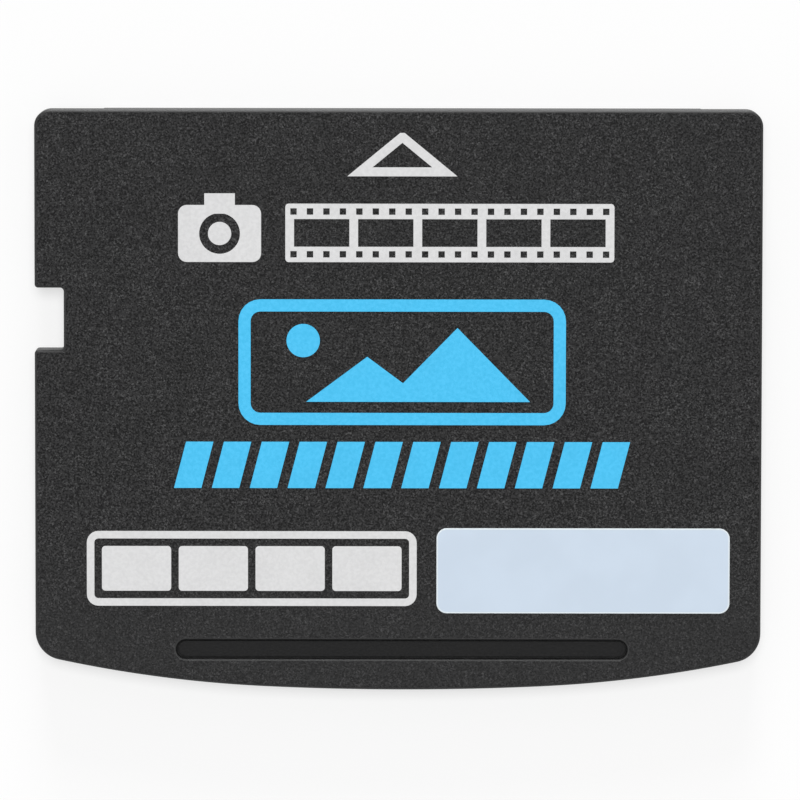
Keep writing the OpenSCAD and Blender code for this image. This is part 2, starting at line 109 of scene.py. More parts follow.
class OutlinePen:
    """Draws a closed flat outline from straight stretches and arcs."""

    def __init__(self, mesh: Mesh, start: Vector) -> None:
        """Sets the pen down.

        Args:
            mesh: Mesh that takes the outline.
            start: First point.
        """
        self.mesh = mesh
        self.tip = mesh.verts.new(start)

    def line(self, x: float, y: float) -> None:
        """Draws a straight stretch.

        Args:
            x: Where it ends, across the card.
            y: Where it ends, along the card.
        """
        end = self.mesh.verts.new((x, y, self.tip.co.z))
        self.mesh.edges.new((self.tip, end))
        self.tip = end

    def arc(self, centre: Vector, degrees: float, steps: int) -> None:
        """Draws an arc by turning the tip about a centre.

        Args:
            centre: Centre of the arc, of which the height isn't used.
            degrees: Angle to turn through, positive to the left.
            steps: Number of straight steps.
        """
        turned = bmesh.ops.spin(
            self.mesh,
            geom=[self.tip],
            cent=(centre.x, centre.y, self.tip.co.z),
            axis=(0, 0, 1),
            angle=math.radians(degrees),
            steps=steps,
            use_duplicate=False,
        )
        self.tip = next(item for item in turned["geom_last"] if isinstance(item, bmesh.types.BMVert))

    def close(self) -> bmesh.types.BMFace:
        """Joins the end to the start and fills the outline.

        Returns:
            The filled face.
        """
        self.mesh.verts.ensure_lookup_table()
        first = self.mesh.verts[0]
        if (first.co - self.tip.co).length > MERGE:
            self.mesh.edges.new((self.tip, first))
        bmesh.ops.remove_doubles(self.mesh, verts=self.mesh.verts[:], dist=MERGE)
        return bmesh.ops.contextual_create(self.mesh, geom=self.mesh.edges[:])["faces"][0]


def raise_face(mesh: Mesh, face: bmesh.types.BMFace, height: float) -> None:
    """Makes a closed prism of a flat face.

    Args:
        mesh: Mesh that holds the face.
        face: Face to raise, which stays as one end.
        height: How far to raise it, in millimetres.
    """
    raised = bmesh.ops.extrude_face_region(mesh, geom=[face], use_keep_orig=True)["geom"]
    verts = [item for item in raised if isinstance(item, bmesh.types.BMVert)]
    bmesh.ops.translate(mesh, verts=verts, vec=(0, 0, height))
    bmesh.ops.recalc_face_normals(mesh, faces=mesh.faces[:])


def round_edges(mesh: Mesh, edges: Iterable[bmesh.types.BMEdge], radius: float, segments: int) -> None:
    """Rounds some edges of a mesh.

    Args:
        mesh: Mesh that holds the edges.
        edges: Edges to round.
        radius: Radius, in millimetres.
        segments: Number of strips in the rounding.
    """
    bmesh.ops.bevel(
        mesh,
        geom=list(edges),
        offset=radius,
        offset_type="OFFSET",
        affect="EDGES",
        segments=segments,
        profile=0.5,
        material=-1,
        clamp_overlap=True,
    )


def edges_at(mesh: Mesh, z: float) -> list[bmesh.types.BMEdge]:
    """Edges that lie at one height.

    Args:
        mesh: Mesh to look in.
        z: Height, in millimetres.

    Returns:
        The edges.
    """
    return [e for e in mesh.edges if all(abs(v.co.z - z) < MERGE for v in e.verts)]


def sharp_edges(mesh: Mesh, degrees: float = 50.0) -> list[bmesh.types.BMEdge]:
    """Edges where two faces meet at more than an angle.

    Args:
        mesh: Mesh to look in.
        degrees: The angle.

    Returns:
        The edges.
    """
    limit = math.radians(degrees)
    return [e for e in mesh.edges if e.is_manifold and e.calc_face_angle(0.0) > limit]


def add_block(mesh: Mesh, low: Vector, high: Vector, radius: float, steps: int) -> None:
    """Adds a box with rounded upright edges, and closes the stub edges that full round ends leave.

    Args:
        mesh: Mesh that takes the box.
        low: Lowest corner, in millimetres.
        high: Highest corner.
        radius: Radius of the upright edges.
        steps: Number of strips in each of them.
    """
    verts = bmesh.ops.create_cube(mesh, size=1.0)["verts"]
    bmesh.ops.scale(mesh, verts=verts, vec=high - low)
    bmesh.ops.translate(mesh, verts=verts, vec=(high + low) / 2)
    corners = set(verts)
    edges = [e for e in mesh.edges if corners.issuperset(e.verts)]
    upright = [e for e in edges if abs(e.verts[0].co.z - e.verts[1].co.z) > MERGE]
    round_edges(mesh, upright, radius, steps)
    bmesh.ops.remove_doubles(mesh, verts=mesh.verts[:], dist=STUB)


def add_post(mesh: Mesh, foot: Vector, radius: float, height: float, sides: int = 32) -> None:
    """Adds an upright round post.

    Args:
        mesh: Mesh that takes the post.
        foot: Middle of its lower end, in millimetres.
        radius: Its radius.
        height: Its height.
        sides: Number of flats round it.
    """
    made = bmesh.ops.create_cone(
        mesh, cap_ends=True, segments=sides, radius1=radius, radius2=radius, depth=height
    )
    bmesh.ops.translate(mesh, verts=made["verts"], vec=foot + Vector((0, 0, height / 2)))


def combine(mesh: Mesh, tool: Mesh, how: Cut) -> None:
    """Cuts one solid away from another, or joins it on.

    Args:
        mesh: Solid that is changed.
        tool: Solid that cuts or is joined on, which is used up.
        how: Which of the two.
    """
    objects = []
    for name, source in (("solid", mesh), ("tool", tool)):
        data = bpy.data.meshes.new(name)
        source.to_mesh(data)
        scratch = bpy.data.objects.new(name, data)
        bpy.context.scene.collection.objects.link(scratch)
        objects.append(scratch)
    solid, cutter = objects
    modifier = solid.modifiers.new("combine", "BOOLEAN")
    modifier.object = cutter
    modifier.operation = how.value
    modifier.solver = "EXACT"
    result = bpy.data.meshes.new_from_object(solid.evaluated_get(bpy.context.evaluated_depsgraph_get()))
    mesh.clear()
    mesh.from_mesh(result)
    tool.free()
    bpy.data.meshes.remove(result)
    for scratch in objects:
        data = scratch.data
        bpy.data.objects.remove(scratch)
        bpy.data.meshes.remove(data)


def finish_piece(mesh: Mesh, name: str, smooth_degrees: float = 32.0) -> bpy.types.Object:
    """Turns a mesh in millimetres into a finished object in metres.

    Args:
        mesh: The mesh, which is used up.
        name: Name of the piece.
        smooth_degrees: Angle past which an edge stays crisp.

    Returns:
        The object, at the origin.
    """
    bmesh.ops.remove_doubles(mesh, verts=mesh.verts[:], dist=MERGE)
    bmesh.ops.dissolve_degenerate(mesh, edges=mesh.edges[:], dist=MERGE)
    bmesh.ops.recalc_face_normals(mesh, faces=mesh.faces[:])
    bmesh.ops.scale(mesh, verts=mesh.verts[:], vec=(MM, MM, MM))
    data = bpy.data.meshes.new(name)
    mesh.to_mesh(data)
    mesh.free()
    data.shade_smooth()
    data.set_sharp_from_angle(angle=math.radians(smooth_degrees))
    piece = bpy.data.objects.new(name, data)
    bpy.context.scene.collection.objects.link(piece)
    normals = piece.modifiers.new("face_weighted_normals", "WEIGHTED_NORMAL")
    normals.mode = "FACE_AREA"
    normals.weight = 100
    normals.keep_sharp = True
    return piece


class NodeGraph:
    """A material's node tree, built with short calls that return sockets."""

    def __init__(self, name: str) -> None:
        """Makes an empty material.

        Args:
            name: Name of the material.
        """
        self.material = bpy.data.materials.new(name)
        self.material.use_nodes = True
        self.tree = self.material.node_tree
        self.tree.nodes.clear()

    def node(self, kind: str, **settings: object) -> bpy.types.Node:
        """Adds a node.

        Args:
            kind: Type of the node, without its ShaderNode start.
            settings: Properties to set on it.

        Returns:
            The node.
        """
        made = self.tree.nodes.new("ShaderNode" + kind)
        for key, value in settings.items():
            setattr(made, key, value)
        return made

    def feed(self, socket: Socket, value: object) -> None:
        """Sets a socket, or links it.

        Args:
            socket: Input socket.
            value: A number, a colour or vector, or an output socket.
        """
        if isinstance(value, Socket):
            self.tree.links.new(value, socket)
        elif isinstance(value, tuple) and socket.type == "RGBA" and len(value) == 3:
            socket.default_value = (*value, 1.0)
        else:
            socket.default_value = value

    def millimetres(self, offset: Vector = Vector()) -> Socket:
        """Object coordinates in millimetres.

        Args:
            offset: Point of the piece that becomes the middle of the pattern, in millimetres.

        Returns:
            The vector socket.
        """
        coordinates = self.node("TexCoord")
        mapping = self.node("Mapping", vector_type="POINT")
        self.feed(mapping.inputs["Vector"], coordinates.outputs["Object"])
        self.feed(mapping.inputs["Scale"], (1 / MM, 1 / MM, 1 / MM))
        self.feed(mapping.inputs["Location"], tuple(-offset))
        return mapping.outputs["Vector"]

    def noise(
        self,
        place: Socket,
        per_mm: float,
        detail: float = 2.0,
        roughness: float = 0.5,
        distortion: float = 0.0,
    ) -> Socket:
        """Cloudy noise.

        Args:
            place: Vector socket in millimetres.
            per_mm: Features in a millimetre.
            detail: Number of finer layers.
            roughness: Share that the finer layers keep.
            distortion: How much the noise is swirled.

        Returns:
            A value socket, about 0.5 on average.
        """
        made = self.node("TexNoise")
        self.feed(made.inputs["Vector"], place)
        self.feed(made.inputs["Scale"], per_mm)
        self.feed(made.inputs["Detail"], detail)
        self.feed(made.inputs["Roughness"], roughness)
        self.feed(made.inputs["Distortion"], distortion)
        return made.outputs["Fac"]

    def cells(self, place: Socket, per_mm: float) -> tuple[Socket, Socket]:
        """Scattered cells.

        Args:
            place: Vector socket in millimetres.
            per_mm: Cells in a millimetre.

        Returns:
            The distance from each cell's middle, and each cell's own random value.
        """
        made = self.node("TexVoronoi", feature="F1")
        self.feed(made.inputs["Vector"], place)
        self.feed(made.inputs["Scale"], per_mm)
        split = self.node("SeparateColor")
        self.feed(split.inputs["Color"], made.outputs["Color"])
        return made.outputs["Distance"], split.outputs["Red"]

    def math(self, operation: str, a: object, b: object = 0.0, clamp: bool = False) -> Socket:
        """Arithmetic on one or two values.

        Args:
            operation: Name of the operation.
            a: First value or socket.
            b: Second value or socket.
            clamp: Whether the result stays between 0 and 1.

        Returns:
            The value socket.
        """
        made = self.node("Math", operation=operation, use_clamp=clamp)
        self.feed(made.inputs[0], a)
        self.feed(made.inputs[1], b)
        return made.outputs[0]

    def remap(self, value: object, low: float, high: float, to_low: float, to_high: float) -> Socket:
        """Stretches a range of values to another one, with a smooth start and end.

        Args:
            value: Value socket.
            low: Start of the range.
            high: End of the range.
            to_low: Result at the start and below it.
            to_high: Result at the end and above it.

        Returns:
            The value socket.
        """
        made = self.node("MapRange", interpolation_type="SMOOTHSTEP", clamp=True)
        for key, number in zip(
            ("Value", "From Min", "From Max", "To Min", "To Max"), (value, low, high, to_low, to_high)
        ):
            self.feed(made.inputs[key], number)
        return made.outputs["Result"]

    def uneven(self, noise: Socket, low: float, high: float) -> Socket:
        """Spreads noise over a range of results, such as a roughness.

        Args:
            noise: Value socket of the noise.
            low: Result where the noise is low.
            high: Result where it is high.

        Returns:
            The value socket.
        """
        return self.remap(noise, *NOISE_SPAN, low, high)

    def blend(self, share: object, a: object, b: object) -> Socket:
        """Mixes two colours.

        Args:
            share: Share of the second colour.
            a: First colour or socket.
            b: Second colour or socket.

        Returns:
            The colour socket.
        """
        made = self.node("Mix", data_type="RGBA")
        self.feed(made.inputs[MIX_SHARE], share)
        self.feed(made.inputs[MIX_FIRST], a)
        self.feed(made.inputs[MIX_SECOND], b)
        return made.outputs[MIX_RESULT]

    def bump(self, height: object, strength: float, depth_mm: float) -> Socket:
        """Relief from a height.

        Args:
            height: Value socket from 0 to 1.
            strength: Share of the relief that shows.
            depth_mm: Depth of the full relief, in millimetres.

        Returns:
            The normal socket.
        """
        made = self.node("Bump")
        self.feed(made.inputs["Strength"], strength)
        self.feed(made.inputs["Distance"], depth_mm * MM)
        self.feed(made.inputs["Height"], height)
        return made.outputs["Normal"]

    def surface(self, **sockets: object) -> bpy.types.Material:
        """Ends the graph in one Principled shader.

        Args:
            sockets: Values or sockets, by the shader's own names with _ for a space.

        Returns:
            The material.
        """
        shader = self.node("BsdfPrincipled")
        for key, value in sockets.items():
            self.feed(shader.inputs[key.replace("_", " ")], value)
        output = self.node("OutputMaterial")
        self.feed(output.inputs["Surface"], shader.outputs["BSDF"])
        return self.material


@dataclass(frozen=True)
class SparkErodedPlastic:
    """Dark moulded plastic with the fine worm-like grain of a spark-eroded mould on its open face, and
    painted shade in its recesses.
    """

    name: str
    dark: Colour
    pale: Colour
    grain_per_mm: float = 7.2
    fine_per_grain: float = 2.2
    patch_per_mm: float = 0.9
    streak_width: float = 0.045
    grain_depth_mm: float = 0.012
    relief: float = 0.8
    recess_relief: float = 0.3
    speck_per_mm: float = 5.5
    speck_size: Span = (0.12, 0.3)
    speck_choice: Span = (0.72, 0.95)
    speck_shade: float = 0.35
    mean_shade: float = 0.3
    # Painted shade: the low level that recesses below the open face are darkened to.
    recess_painted_shade: float = 0.12
    rub: float = 0.35
    rub_ends: Span = (-9.0, -3.0)
    recess_ends: Span = (0.03, 0.11)
    gloss: float = 0.08
    roughness: float = 0.5

    def evened(self, graph: NodeGraph, shade: Socket, level: float, share: Socket) -> Socket:
        """Draws a shade towards a level.

        Args:
            graph: Graph to add to.
            shade: The shade.
            level: The level.
            share: How far, from 0 to 1.

        Returns:
            The evened shade.
        """
        gap = graph.math("SUBTRACT", level, shade)
        return graph.math("ADD", shade, graph.math("MULTIPLY", gap, share))

    def grain(self, graph: NodeGraph, place: Socket) -> tuple[Socket, ...]:
        """Draws the worm-like streaks and specks of the grain.

        Args:
            graph: Graph to add to.
            place: Vector socket in millimetres.

        Returns:
            How pale the grain is, its height and its finest layer, each from 0 to 1.
        """
        worms = graph.noise(place, self.grain_per_mm, 2.0, 0.6, 0.6)
        middle = graph.math("ABSOLUTE", graph.math("SUBTRACT", worms, NOISE_MEAN))
        ridge = graph.remap(middle, 0.0, self.streak_width, 1.0, 0.0)
        fine = graph.noise(place, self.grain_per_mm * self.fine_per_grain, 1.0, 0.5)
        patch = graph.noise(place, self.patch_per_mm, 3.0, 0.6)
        distance, pick = graph.cells(place, self.speck_per_mm)
        speck = graph.math(
            "MULTIPLY",
            graph.remap(distance, *self.speck_size, 1.0, 0.0),
            graph.remap(pick, *self.speck_choice, 0.0, 1.0),
        )
        streak = graph.math("MULTIPLY", ridge, graph.remap(fine, 0.36, 0.6, 0.1, 0.85))
        shade = graph.math("MULTIPLY", streak, graph.remap(patch, 0.35, 0.65, 0.6, 0.95))
        shade = graph.math("ADD", shade, graph.math("MULTIPLY", speck, self.speck_shade))
        shade = graph.math("ADD", shade, graph.remap(fine, 0.32, 0.64, 0.0, 0.3), clamp=True)
        height = graph.math("ADD", graph.math("MULTIPLY", ridge, 0.55), graph.math("MULTIPLY", fine, 0.4))
        return shade, height, fine

    def material(self, face_z: float) -> bpy.types.Material:
        """Makes the material for one cover.

        Args:
            face_z: Height of the cover's open face, in millimetres.

        Returns:
            The material.
        """
        graph = NodeGraph(self.name)
        place = graph.millimetres()
        split = graph.node("SeparateXYZ")
        graph.feed(split.inputs[0], place)
        off_face = graph.math("ABSOLUTE", graph.math("SUBTRACT", split.outputs[2], face_z))
        recess = graph.remap(off_face, *self.recess_ends, 0.0, 1.0)
        shade, height, fine = self.grain(graph, place)
        rubbed = graph.remap(split.outputs[1], *self.rub_ends, self.rub, 0.0)
        shade = self.evened(graph, shade, self.mean_shade, rubbed)
        # Below the open face, as on the groove's floor, the grain is evened out for the smoother finish
        # there. It is also darkened to a fixed low level, which is painted shade standing in for the shadow
        # in the recess.
        shade = self.evened(graph, shade, self.recess_painted_shade, recess)
        height = graph.math("MULTIPLY", height, graph.remap(recess, 0.0, 1.0, 1.0, self.recess_relief))
        return graph.surface(
            Base_Color=graph.blend(shade, self.dark, self.pale),
            Roughness=graph.uneven(fine, self.roughness - 0.07, self.roughness + 0.1),
            Specular_IOR_Level=self.gloss,
            Normal=graph.bump(height, self.relief, self.grain_depth_mm),
        )


@dataclass(frozen=True)
class DrawnPlastic:
    """The same plastic on walls and rims, where drawing it from the mould has smoothed the grain."""

    name: str
    dark: Colour
    pale: Colour
    grain_per_mm: float = 9.0
    patch_per_mm: float = 1.1
    grain_depth_mm: float = 0.003
    relief: float = 0.4
    gloss: float = 0.35
    roughness: float = 0.48

    def material(self) -> bpy.types.Material:
        """Makes the material.

        Returns:
            The material.
        """
        graph = NodeGraph(self.name)
        place = graph.millimetres()
        grain = graph.noise(place, self.grain_per_mm, 2.0, 0.6)
        patch = graph.noise(place, self.patch_per_mm, 3.0, 0.6)
        shade = graph.math(
            "ADD",
            graph.remap(grain, 0.35, 0.7, 0.0, 0.7),
            graph.remap(patch, 0.4, 0.65, 0.0, 0.3),
        )
        return graph.surface(
            Base_Color=graph.blend(shade, self.dark, self.pale),
            Roughness=graph.uneven(grain, self.roughness - 0.04, self.roughness + 0.08),
            Specular_IOR_Level=self.gloss,
            Normal=graph.bump(grain, self.relief, self.grain_depth_mm),
        )


@dataclass(frozen=True)
class ScreenInk:
    """Printed ink that follows the grain of the plastic under it."""

    name: str
    colour: Colour
    shade: float = 0.9
    grain_per_mm: float = 8.0
    grain_depth_mm: float = 0.006
    relief: float = 0.5
    cloud_per_mm: float = 0.8
    gloss: float = 0.3
    roughness: Span = (0.5, 0.64)

    def material(self) -> bpy.types.Material:
        """Makes the material.

        Returns:
            The material.
        """
        graph = NodeGraph(self.name)
        place = graph.millimetres()
        grain = graph.noise(place, self.grain_per_mm, 2.0, 0.6, 0.4)
        cloud = graph.noise(place, self.cloud_per_mm, 2.0, 0.5)
        thin = tuple(part * self.shade for part in self.colour)
        wear = graph.math(
            "ADD",
            graph.uneven(grain, 0.0, 0.7),
            graph.remap(cloud, 0.4, 0.7, 0.0, 0.3),
        )
        return graph.surface(
            Base_Color=graph.blend(wear, self.colour, thin),
            Roughness=graph.uneven(grain, *self.roughness),
            Specular_IOR_Level=self.gloss,
            Normal=graph.bump(grain, self.relief, self.grain_depth_mm),
        )


@dataclass(frozen=True)
class WritingFilm:
    """Pale writable film with a lighter rim where it is cut."""

    name: str
    colour: Colour
    rim: Colour
    rim_width: float = 0.07
    rim_fade: float = 0.4
    cloud_shade: float = 0.965
    cloud_per_mm: float = 0.5
    grain_per_mm: float = 14.0
    grain_depth_mm: float = 0.003
    relief: float = 0.25
    gloss: float = 0.35
    roughness: Span = (0.4, 0.5)

    def material(self, low: Vector, high: Vector, radius: float) -> bpy.types.Material:
        """Makes the material for one label.

        Args:
            low: Lowest corner of the label, in millimetres.
            high: Highest corner.
            radius: Radius of the label's corners.

        Returns:
            The material.
        """
        graph = NodeGraph(self.name)
        place = graph.millimetres((low + high) / 2)
        split = graph.node("SeparateXYZ")
        graph.feed(split.inputs[0], place)
        past = []
        for axis in range(2):
            reach = graph.math("ABSOLUTE", split.outputs[axis])
            half = (high - low)[axis] / 2 - radius
            past.append(graph.math("MAXIMUM", graph.math("SUBTRACT", reach, half), 0.0))
        square = graph.math("ADD", graph.math("POWER", past[0], 2.0), graph.math("POWER", past[1], 2.0))
        from_middle = graph.math("SQRT", square)
        rim_end = radius - self.rim_width * self.rim_fade
        edge = graph.remap(from_middle, radius - self.rim_width, rim_end, 0.0, 1.0)
        grain = graph.noise(place, self.grain_per_mm, 3.0, 0.6)
        cloud = graph.noise(place, self.cloud_per_mm, 2.0, 0.5)
        duller = tuple(part * self.cloud_shade for part in self.colour)
        body = graph.blend(graph.remap(cloud, 0.35, 0.65, 0.0, 1.0), self.colour, duller)
        return graph.surface(
            Base_Color=graph.blend(edge, body, self.rim),
            Roughness=graph.uneven(grain, *self.roughness),
            Specular_IOR_Level=self.gloss,
            Normal=graph.bump(grain, self.relief, self.grain_depth_mm),
        )


@dataclass(frozen=True)
class PlatedMetal:
    """Plated metal with fine brushing along the card and faint rub marks."""

    name: str
    colour: Colour
    worn: Colour
    roughness: float
    brush_per_mm: float = 16.0
    brush_stretch: float = 0.12
    brush_depth_mm: float = 0.002
    relief: float = 0.3
    wear_per_mm: float = 1.3

    def material(self) -> bpy.types.Material:
        """Makes the material.

        Returns:
            The material.
        """
        graph = NodeGraph(self.name)
        place = graph.millimetres()
        streaks = graph.node("Mapping", vector_type="POINT")
        graph.feed(streaks.inputs["Vector"], place)
        graph.feed(streaks.inputs["Scale"], (1.0, self.brush_stretch, 1.0))
        brushed = graph.noise(streaks.outputs["Vector"], self.brush_per_mm, 3.0, 0.6)
        cloud = graph.noise(place, self.wear_per_mm, 3.0, 0.55)
        return graph.surface(
            Base_Color=graph.blend(graph.remap(cloud, 0.4, 0.75, 0.0, 0.8), self.colour, self.worn),
            Metallic=1.0,
            Roughness=graph.uneven(brushed, self.roughness - 0.06, self.roughness + 0.1),
            Normal=graph.bump(brushed, self.relief, self.brush_depth_mm),
        )


@dataclass(frozen=True)
class MouldedResin:
    """Smooth resin, lacquer, glaze or ceramic, with a faint mottle."""

    name: str
    colour: Colour
    mottle: Colour
    roughness: float
    gloss: float = 0.5
    mottle_per_mm: float = 3.0
    grain_per_mottle: float = 4.0
    grain_depth_mm: float = 0.003
    relief: float = 0.3

    def material(self) -> bpy.types.Material:
        """Makes the material.

        Returns:
            The material.
        """
        graph = NodeGraph(self.name)
        place = graph.millimetres()
        grain = graph.noise(place, self.mottle_per_mm * self.grain_per_mottle, 2.0, 0.6)
        cloud = graph.noise(place, self.mottle_per_mm, 3.0, 0.6)
        return graph.surface(
            Base_Color=graph.blend(graph.remap(cloud, 0.35, 0.65, 0.0, 1.0), self.colour, self.mottle),
            Roughness=graph.uneven(grain, self.roughness - 0.05, self.roughness + 0.07),
            Specular_IOR_Level=self.gloss,
            Normal=graph.bump(grain, self.relief, self.grain_depth_mm),
        )


FRONT_PLASTIC = SparkErodedPlastic("front_cover_plastic", (0.0015, 0.0015, 0.0017), (0.098, 0.098, 0.099))
BACK_PLASTIC = SparkErodedPlastic("back_cover_plastic", (0.002, 0.002, 0.0022), (0.075, 0.075, 0.076))
FRONT_WALLS = DrawnPlastic("front_cover_walls", (0.007, 0.007, 0.0073), (0.018, 0.018, 0.0183))
BACK_WALLS = DrawnPlastic("back_cover_walls", (0.006, 0.006, 0.0063), (0.015, 0.015, 0.0153))
WHITE_INK = ScreenInk("white_ink", (0.74, 0.74, 0.745))
BLUE_INK = ScreenInk("blue_ink", (0.057, 0.56, 0.935))
LABEL_FILM = WritingFilm("label_film", (0.59, 0.69, 0.81), (0.76, 0.83, 0.87))
CONTACT_GOLD = PlatedMetal("contact_gold", (0.83, 0.58, 0.22), (0.74, 0.49, 0.19), 0.24)
LEAD_TIN = PlatedMetal("lead_tin", (0.66, 0.67, 0.68), (0.5, 0.51, 0.52), 0.32)
BOARD_MASK = MouldedResin("board_laminate", (0.012, 0.1, 0.045), (0.016, 0.13, 0.06), 0.3)
CHIP_RESIN = MouldedResin("chip_resin", (0.012, 0.012, 0.013), (0.02, 0.02, 0.022), 0.6)
CERAMIC = MouldedResin("capacitor_ceramic", (0.4, 0.26, 0.14), (0.34, 0.22, 0.12), 0.5, mottle_per_mm=8.0)
GLAZE = MouldedResin(
    "resistor_glaze", (0.014, 0.014, 0.016), (0.022, 0.022, 0.025), 0.25, mottle_per_mm=8.0
)


@dataclass(frozen=True)
class CardOutline:
    """Outline of the card as seen on the printed face, in millimetres."""

    half_width: float
    half_length: float
    middle_x: float
    corner_radius: float = 0.56
    grip_radius: float = 1.0
    bow_radius: float = 102.0
    bow_half: float = 4.75
    bow_end_radius: float = 43.5
    notch_from_edge: float = 6.12
    notch_length: float = 2.14
    notch_depth: float = 1.0
    notch_radius: float = 0.13
    mouth_radius: float = 0.12
    corner_steps: int = 14
    small_steps: int = 6
    bow_steps: int = 24

    @property
    def bow_centre(self) -> Vector:
        """Centre of the flat middle arc of the grip edge."""
        return Vector((self.middle_x, self.bow_radius - self.half_length, 0))

    @property
    def bow_angle(self) -> float:
        """Half the angle of the flat middle arc, in degrees."""
        return math.degrees(math.asin(self.bow_half / self.bow_radius))

    def bow_end_centre(self, side: Side) -> Vector:
        """Centre of the arc between the middle of the bow and one corner.

        Args:
            side: Side of the card.

        Returns:
            The centre.
        """
        angle = math.radians(self.bow_angle)
        reach = self.bow_radius - self.bow_end_radius
        return self.bow_centre + reach * Vector((side.value * math.sin(angle), -math.cos(angle), 0))

    def grip_centre(self, side: Side) -> Vector:
        """Centre of one corner at the grip edge.

        Args:
            side: Side of the card.

        Returns:
            The centre.
        """
        arc = self.bow_end_centre(side)
        x = side.value * (self.half_width - self.grip_radius)
        reach = self.bow_end_radius - self.grip_radius
        return Vector((x, arc.y - math.sqrt(reach**2 - (x - arc.x) ** 2), 0))

    def grip_angle(self, side: Side) -> float:
        """Direction in which the bow runs into one corner.

        Args:
            side: Side of the card.

        Returns:
            The direction from the bow's centre, between 180 and 360 degrees.
        """
        way = self.grip_centre(side) - self.bow_end_centre(side)
        return 360 + math.degrees(math.atan2(way.y, way.x))

    def draw(self, mesh: Mesh, z: float) -> bmesh.types.BMFace:
        """Draws the outline, notch included, as one flat face.

        Args:
            mesh: Empty mesh that takes it.
            z: Height of the face.

        Returns:
            The face.
        """
        w, h = self.half_width, self.half_length
        r, mouth, inner = self.corner_radius, self.mouth_radius, self.notch_radius
        top = h - self.notch_from_edge
        bottom = top - self.notch_length
        deep = self.notch_depth - w
        left, right = self.grip_angle(Side.LEFT), self.grip_angle(Side.RIGHT)
        pen = OutlinePen(mesh, Vector((w, h - r, z)))
        pen.arc(Vector((w - r, h - r, 0)), 90, self.corner_steps)
        pen.line(r - w, h)
        pen.arc(Vector((r - w, h - r, 0)), 90, self.corner_steps)
        pen.line(-w, top + mouth)
        pen.arc(Vector((mouth - w, top + mouth, 0)), 90, self.small_steps)
        pen.line(deep - inner, top)
        pen.arc(Vector((deep - inner, top - inner, 0)), -90, self.small_steps)
        pen.line(deep, bottom + inner)
        pen.arc(Vector((deep - inner, bottom + inner, 0)), -90, self.small_steps)
        pen.line(mouth - w, bottom)
        pen.arc(Vector((mouth - w, bottom - mouth, 0)), 90, self.small_steps)
        pen.line(-w, self.grip_centre(Side.LEFT).y)
        pen.arc(self.grip_centre(Side.LEFT), left - 180, self.corner_steps)
        pen.arc(self.bow_end_centre(Side.LEFT), 270 - self.bow_angle - left, self.bow_steps)
        pen.arc(self.bow_centre, 2 * self.bow_angle, self.bow_steps)
        pen.arc(self.bow_end_centre(Side.RIGHT), right - 270 - self.bow_angle, self.bow_steps)
        pen.arc(self.grip_centre(Side.RIGHT), 360 - right, self.corner_steps)
        return pen.close()


